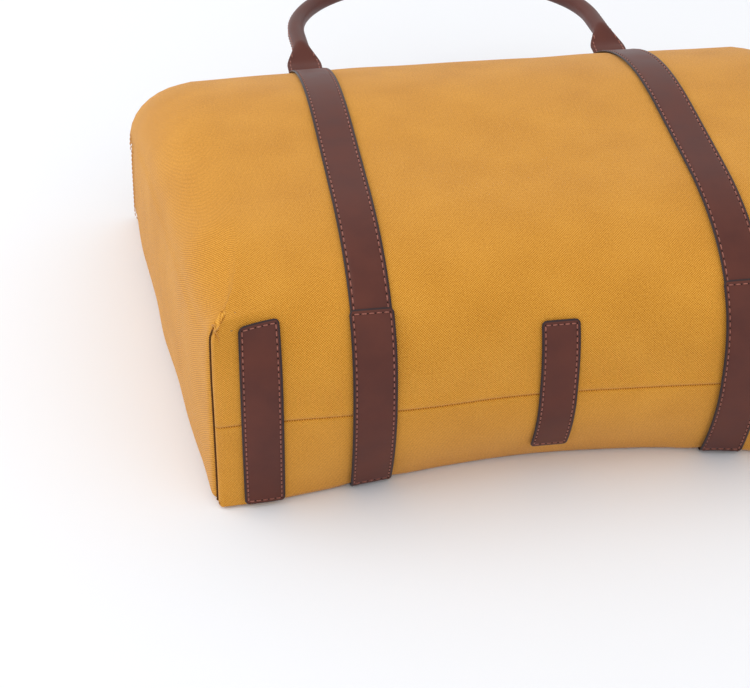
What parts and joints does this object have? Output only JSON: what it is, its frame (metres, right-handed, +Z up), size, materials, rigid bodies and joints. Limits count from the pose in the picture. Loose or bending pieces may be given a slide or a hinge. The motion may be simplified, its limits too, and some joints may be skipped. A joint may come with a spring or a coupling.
{
  "type": "laptop sleeve",
  "caption": "Padded canvas laptop sleeve with a boxed bottom, leather straps and tabs, rolled carrying handles and a recessed zip closure.",
  "frame": {"origin": "middle of the whole outline, handles included, on the surface that the sleeve lies on", "axes": "+X along the bottom to the right of the front, +Y from the bottom to the mouth and the handles, +Z up from the back straps to the front panel"},
  "size_m": [0.43, 0.4608, 0.1414],
  "materials": {
    "canvas": "plain woven cotton canvas",
    "strap_leather": "satin full-grain leather, saddle stitched",
    "lining": "cotton twill lining",
    "binding": "woven edge binding",
    "foam": "closed-cell foam",
    "zip_tape": "woven zip tape",
    "zip_metal": "antique brass"
  },
  "bodies": {
    "case": {"front_panel": "canvas", "back_panel": "canvas", "front_foam": "foam", "back_foam": "foam", "lining": "lining", "mouth_facing": "canvas", "divider": "lining", "divider_binding": "binding", "slip_pocket": "lining", "corner_tab_left": "strap_leather", "corner_tab_right": "strap_leather", "bottom_patch_left": "strap_leather", "bottom_patch_right": "strap_leather", "centre_tab": "strap_leather", "front_strap_left": "strap_leather", "front_strap_right": "strap_leather", "back_strap_left": "strap_leather", "back_strap_right": "strap_leather", "zip_end_panel_left": "canvas", "zip_end_panel_right": "canvas", "zip_stop_left": "zip_metal", "zip_stop_right": "zip_metal"},
    "front_carry": {"front_handle": "strap_leather"},
    "back_carry": {"back_handle": "strap_leather"},
    "front_flap": {"front_zip_panel": "canvas", "front_zip_tape": "zip_tape", "front_zip_chain": "zip_metal"},
    "back_flap": {"back_zip_panel": "canvas", "back_zip_tape": "zip_tape", "back_zip_chain": "zip_metal"},
    "slider": {"zip_slider": "zip_metal"},
    "pull": {"zip_pull": "zip_metal", "pull_leather": "strap_leather"}
  },
  "joints": [
    {"name": "front_handle_swing", "type": "hinge", "parent": "case", "child": "front_carry", "pos_m": [0, 0.07285, 0.1012], "axis": [1, 0, 0], "range_deg": [-30, 98]},
    {"name": "back_handle_swing", "type": "hinge", "parent": "case", "child": "back_carry", "pos_m": [0, 0.07285, 0.0012], "axis": [1, 0, 0], "range_deg": [0, 55]},
    {"name": "front_flap_fold", "type": "hinge", "parent": "case", "child": "front_flap", "pos_m": [0, 0.07055, 0.08958], "axis": [-1, 0, 0], "range_deg": [0, 88]},
    {"name": "back_flap_fold", "type": "hinge", "parent": "case", "child": "back_flap", "pos_m": [0, 0.07055, 0.0109], "axis": [1, 0, 0], "range_deg": [0, 88]},
    {"name": "slider_travel", "type": "slide", "parent": "case", "child": "slider", "axis": [-1, 0, 0], "range_m": [0, 0.384]},
    {"name": "pull_swing", "type": "hinge", "parent": "slider", "child": "pull", "pos_m": [0.192, 0.07395, 0.05024], "axis": [0, 0, -1], "range_deg": [0, 175]}
  ]
}
